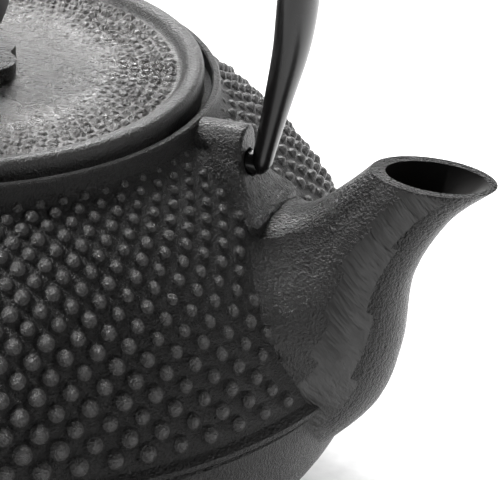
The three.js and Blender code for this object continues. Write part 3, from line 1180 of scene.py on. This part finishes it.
@dataclass
class Lid:
    """The lid with its rim, small hobnails, rosette, washer and knob."""

    rim_top: float = 84.1
    field: float = 82.4
    under: float = 78.9
    spigot_radius: float = 38.4
    spigot_low: float = 72.5
    spigot_wall: float = 2
    stem_hole: float = 2.5
    stem: float = 2.2
    outer_row: float = 39.7
    inner_row: float = 24
    bump_pitch: float = 2.6
    lobes: int = 8
    lobe_radius: float = 5.2
    ball: float = 12.6

    def __post_init__(self) -> None:
        """Takes the lid's radius and the knob's place from the frame."""
        self.radius = low_high("lid")[1].x
        (seat, knob, washer) = (low_high(node) for node in ("knob_seat", "lid_knob", "knob_washer"))
        self.seat_low, self.seat_top, self.seat_reach = seat[0].z, seat[1].z, seat[1].x
        self.knob_low, self.knob_top = knob[0].z, knob[1].z
        self.washer_low, self.washer_high, self.washer_radius = washer[0].z, washer[1].z, washer[1].x

    def casting(self) -> None:
        """Turns the lid: rim, sunken field and the ring that centres it in the mouth."""
        edge, top, inner = self.radius, self.rim_top, self.spigot_radius - self.spigot_wall
        lid = turn("lid_casting", [
            (self.stem_hole, self.under), (inner, self.under), (inner, self.spigot_low + 0.3),
            (inner + 0.3, self.spigot_low), (self.spigot_radius - 0.3, self.spigot_low),
            (self.spigot_radius, self.spigot_low + 0.3), (self.spigot_radius, self.under),
            (edge - 0.7, self.under), (edge - 0.15, self.under + 0.25), (edge, self.under + 0.8),
            (edge, top - 1.2), (edge - 0.12, top - 0.75), (edge - 0.4, top - 0.38),
            (edge - 0.8, top - 0.14), (edge - 1.4, top), (edge - 2.1, top - 0.02),
            (edge - 2.7, top - 0.2), (edge - 3.15, top - 0.55), (edge - 3.5, top - 1.05),
            (edge - 3.8, self.field + 0.3), (edge - 4.2, self.field + 0.06), (edge - 4.8, self.field),
            *((radius, self.field) for radius in (34, 28, 22, 16, 10)), (self.stem_hole, self.field),
        ])
        # Painted reflection: the sunken field takes the lighter lid iron, and faces outside the field's
        # edge or below it (rim, side, underside) take the darker rim iron.
        paint(lid, LID_IRON, RIM_IRON)
        for face in lid.data.polygons:
            on_rim = math.hypot(face.center.x, face.center.y) > (edge - 4.3) * MM
            face.material_index = int(on_rim or face.center.z < (self.field - 0.1) * MM)
        dress(lid, Body.LID, ("lid",))

    def hobnails(self) -> None:
        """Sets small bosses in rings that fade out towards the knob."""
        boss = dome("lid_boss", ((1.12, -0.06), (0.86, 0.2), (0.56, 0.54), (0.22, 0.7)), 10)
        draw = random.Random(7)
        places = []
        count = round(2 * math.pi * self.outer_row / self.bump_pitch)
        radius, row = self.outer_row, 0
        while radius > self.inner_row:
            pitch = 2 * math.pi * radius / count
            fade = (radius - self.inner_row) / (self.outer_row - self.inner_row)
            for column in range(count):
                around = 2 * math.pi * (column + row / 2 + draw.uniform(-0.08, 0.08)) / count
                size = 0.43 * pitch * draw.uniform(0.85, 1.1)
                tall = size * min(1, 0.05 + 1.3 * fade ** 1.2) * draw.uniform(0.75, 1.2)
                foot = Vector((radius * math.cos(around), radius * math.sin(around), self.field))
                grow = Matrix.Diagonal((size * MM, size * MM, tall * MM, 1))
                places.append(Matrix.Translation(foot * MM) @ grow)
            radius -= 0.82 * pitch
            row += 1
        piece = scatter("lid_hobnails", boss, places)
        # Painted reflection: the lid hobnails take the lighter lid iron.
        paint(piece, LID_IRON)
        dress(piece, Body.LID, smooth=60)

    def rosette(self) -> None:
        """Models the scalloped seat of the knob from a disc and a ring of round lobes."""
        lobe = self.lobe_radius
        depth, middle = self.seat_top - self.seat_low, (self.seat_top + self.seat_low) / 2

        def disc(radius: float, reach: float, around: float, sides: int) -> Object:
            """Adds an upright disc at a distance from the axis."""
            deselect_all()
            place = (reach * math.cos(around) * MM, reach * math.sin(around) * MM, middle * MM)
            bpy.ops.mesh.primitive_cylinder_add(vertices=sides, radius=radius * MM, depth=depth * MM,
                                                location=place)
            settle(bpy.context.object)
            return bpy.context.object

        seat = disc(self.seat_reach - 1.5, 0, 0, 96)
        seat.name = "knob_rosette"
        for index in range(self.lobes):
            around = 2 * math.pi * index / self.lobes
            combine(seat, disc(lobe, self.seat_reach - lobe, around, 40), Act.JOIN)
        round_edges(seat, 1.3, 4, 50)
        hole = [(0, 70), (self.stem_hole, 70), (self.stem_hole, 90), (0, 90)]
        combine(seat, turn("bore_of_seat", hole, 32), Act.CUT)
        # Painted reflection: the rosette takes the lighter lid iron.
        paint(seat, LID_IRON)
        dress(seat, Body.LID, ("knob_seat",), smooth=40)

    def knob(self) -> None:
        """Turns the ball with its stem and the peened head under the washer."""
        centre = self.knob_top - self.ball
        start = self.seat_top + 0.3
        first = math.degrees(math.asin((start - centre) / self.ball))
        head_top = self.washer_low - 0.3
        knob = turn("knob_ball", [
            (0, self.knob_low), (1.8, self.knob_low + 0.05), (3.2, self.knob_low + 0.5),
            (3.9, head_top - 0.4), (3.9, head_top), (self.stem, head_top), (self.stem, start),
            *arc((0, centre), self.ball, first, 88, 40), (0, self.knob_top),
        ], 80)
        paint(knob, KNOB_BLACK)
        dress(knob, Body.KNOB, ("lid_knob",), smooth=40)

    def washer(self) -> None:
        """Turns the washer under the lid."""
        washer = turn("knob_washer_plate", [
            (self.stem_hole, self.washer_low), (self.washer_radius - 0.3, self.washer_low),
            (self.washer_radius, self.washer_low + 0.3), (self.washer_radius, self.washer_high - 0.3),
            (self.washer_radius - 0.3, self.washer_high), (self.stem_hole, self.washer_high)], 64)
        paint(washer, STEEL)
        dress(washer, Body.LID, ("knob_washer",))

    def build(self) -> None:
        """Builds the lid and knob."""
        self.casting()
        self.hobnails()
        self.rosette()
        self.knob()
        self.washer()


# ---------------------------------------------------------------- the infuser


@dataclass
class Infuser:
    """The steel basket for the leaves: pressed collar, mesh wall and floor, foot ring."""

    outer: float = 39.2
    sheet: float = 0.5
    seat: float = 77.6
    seat_radius: float = 43.3
    low: float = 41.5
    columns: int = 150
    courses: int = 21
    wire: float = 0.42

    def lattice(self, piece: Object) -> None:
        """Turns a sheet of quads into wires."""
        take(piece)
        modifier = piece.modifiers.new("wires", "WIREFRAME")
        modifier.thickness = self.wire * MM
        modifier.use_even_offset = False
        modifier.use_boundary = True
        bpy.ops.object.modifier_apply(modifier=modifier.name)

    def wall(self) -> None:
        """Makes the mesh wall from a gridded cylinder."""
        deselect_all()
        bottom, top = self.low + 0.9, self.seat - 0.6
        radius = self.outer - self.sheet / 2
        bpy.ops.mesh.primitive_circle_add(vertices=self.columns, radius=radius * MM, fill_type="NOTHING",
                                          location=(0, 0, bottom * MM))
        wall = bpy.context.object
        wall.name = "infuser_mesh_wall"
        settle(wall)
        bpy.ops.object.mode_set(mode="EDIT")
        bpy.ops.mesh.select_all(action="SELECT")
        for _ in range(self.courses):
            rise = (0, 0, (top - bottom) / self.courses * MM)
            bpy.ops.mesh.extrude_region_move(TRANSFORM_OT_translate={"value": rise})
        bpy.ops.object.mode_set(mode="OBJECT")
        self.lattice(wall)
        paint(wall, MESH_STEEL)
        dress(wall, Body.INFUSER, ("infuser_wall",))

    def floor(self) -> None:
        """Makes the mesh floor from a round cut of a square grid."""
        deselect_all()
        radius, height, cells = self.outer - self.sheet - 0.6, self.low + 1.15, 46
        bpy.ops.mesh.primitive_grid_add(x_subdivisions=cells, y_subdivisions=cells, size=2 * radius * MM,
                                        location=(0, 0, height * MM))
        floor = bpy.context.object
        floor.name = "infuser_mesh_floor"
        settle(floor)
        bpy.ops.object.mode_set(mode="EDIT")
        pick(floor, lambda place: math.hypot(place.x, place.y) > radius)
        bpy.ops.mesh.delete(type="VERT")
        bpy.ops.object.mode_set(mode="OBJECT")
        self.lattice(floor)
        paint(floor, MESH_STEEL)
        dress(floor, Body.INFUSER, ("infuser_floor",))

    def collar(self) -> None:
        """Turns the pressed collar that hangs in the mouth."""
        skirt, lip = self.outer + 0.3, self.seat_radius - 0.4
        base = self.seat + 0.3
        collar = turn("infuser_collar", [
            (skirt, self.seat - 5), (skirt + self.sheet, self.seat - 5),
            (skirt + self.sheet, self.seat - 0.4), (skirt + self.sheet + 0.25, self.seat + 0.1),
            (skirt + self.sheet + 0.7, base), (lip - 0.2, base),
            (lip, base + 0.2), (lip, base + 0.45), (lip - 0.2, base + 0.6), (skirt + 0.6, base + 0.6),
            (skirt + 0.15, base + 0.4), (skirt, base)])
        paint(collar, STEEL)
        dress(collar, Body.INFUSER, ("infuser_rim",))

    def foot_ring(self) -> None:
        """Turns the ring that holds wall and floor together."""
        inner = self.outer + 0.3
        ring = turn("infuser_foot_ring", [
            (inner - 2.4, self.low), (inner + 0.1, self.low), (inner + self.sheet, self.low + 0.4),
            (inner + self.sheet, self.low + 3.5), (inner, self.low + 3.5), (inner, self.low + 0.6),
            (inner - 2.4, self.low + 0.6)])
        paint(ring, STEEL)
        dress(ring, Body.INFUSER, ("infuser_base_ring",))

    def build(self) -> None:
        """Builds the infuser."""
        self.wall()
        self.floor()
        self.collar()
        self.foot_ring()


# ---------------------------------------------------------------- stage


@dataclass(frozen=True)
class Softbox:
    """A large soft light aimed at the pot.

    Attributes:
        name: Name of the light.
        place: Where it hangs, in metres.
        size: Width and height, in metres.
        power: Watts.
    """

    name: str
    place: tuple[float, float, float]
    size: tuple[float, float]
    power: float

    def hang(self, target: Vector) -> None:
        """Adds the light, facing the target."""
        lamp = bpy.data.lights.new(self.name, "AREA")
        lamp.shape = "RECTANGLE"
        lamp.size, lamp.size_y = self.size
        lamp.energy = self.power
        rig = bpy.data.objects.new(self.name, lamp)
        rig.location = self.place
        rig.rotation_euler = (target - rig.location).to_track_quat("-Z", "Y").to_euler()
        rig.visible_camera = False
        bpy.context.scene.collection.objects.link(rig)


@dataclass
class Studio:
    """The pale floor, the soft lights and the camera."""

    azimuth: float = -19.989
    elevation: float = 24.326
    roll: float = 1.033
    distance: float = 0.9591
    aim: tuple[float, float, float] = (0.0504, 0.0183, 0.0514)
    lens: float = 402.8
    sensor: float = 36
    floor_size: float = 14
    floor_height: float = -0.0004
    light_target: float = 0.06
    room_light: float = 0.05

    def floor(self) -> None:
        """Lays the pale floor."""
        deselect_all()
        bpy.ops.mesh.primitive_plane_add(size=self.floor_size, location=(0, 0, self.floor_height))
        sheet = bpy.context.object
        sheet.name = "pale_floor"
        settle(sheet)
        paint(sheet, PAPER)

    def lights(self) -> None:
        """Hangs the softboxes and sets a dim even room."""
        target = Vector((0, 0, self.light_target))
        for box in (
            Softbox("overhead", (-0.35, 0.6, 1.3), (0.7, 0.5), 24),
            Softbox("behind", (-0.65, 1.8, 0.95), (1.0, 0.55), 34),
            Softbox("upper_left", (-0.9, -0.1, 1.05), (0.28, 0.28), 32),
            Softbox("right", (1.3, 0.1, 0.8), (0.4, 0.4), 8),
        ):
            box.hang(target)
        world = bpy.data.worlds.new("room")
        world.use_nodes = True
        background = world.node_tree.nodes["Background"]
        background.inputs["Color"].default_value = (1, 1, 1, 1)
        background.inputs["Strength"].default_value = self.room_light
        bpy.context.scene.world = world

    def camera(self) -> None:
        """Sets up the camera at its angle above the spout's left side."""
        around, above = math.radians(self.azimuth), math.radians(self.elevation)
        level_share = math.cos(above)
        ahead = Vector((math.sin(around) * level_share, math.cos(around) * level_share, -math.sin(above)))
        right = ahead.cross(Vector((0, 0, 1))).normalized()
        upward = right.cross(ahead)
        level = Matrix((right, upward, -ahead)).transposed()
        turned = level @ Matrix.Rotation(math.radians(self.roll), 3, "Z")
        lens = bpy.data.cameras.new("camera")
        lens.lens = self.lens
        lens.sensor_width = self.sensor
        rig = bpy.data.objects.new("camera", lens)
        rig.matrix_world = Matrix.Translation(Vector(self.aim) - ahead * self.distance) @ turned.to_4x4()
        bpy.context.scene.collection.objects.link(rig)
        bpy.context.scene.camera = rig

    def build(self) -> None:
        """Builds the stage."""
        bpy.context.scene.view_settings.view_transform = "Standard"
        self.floor()
        self.lights()
        self.camera()


def main() -> None:
    """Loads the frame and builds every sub-assembly."""
    logging.basicConfig(level=logging.INFO, format="%(name)s: %(message)s")
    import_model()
    for assembly in (Pot(), Bail(), Lid(), Infuser(), Studio()):
        assembly.build()


if __name__ == "__main__":
    main()
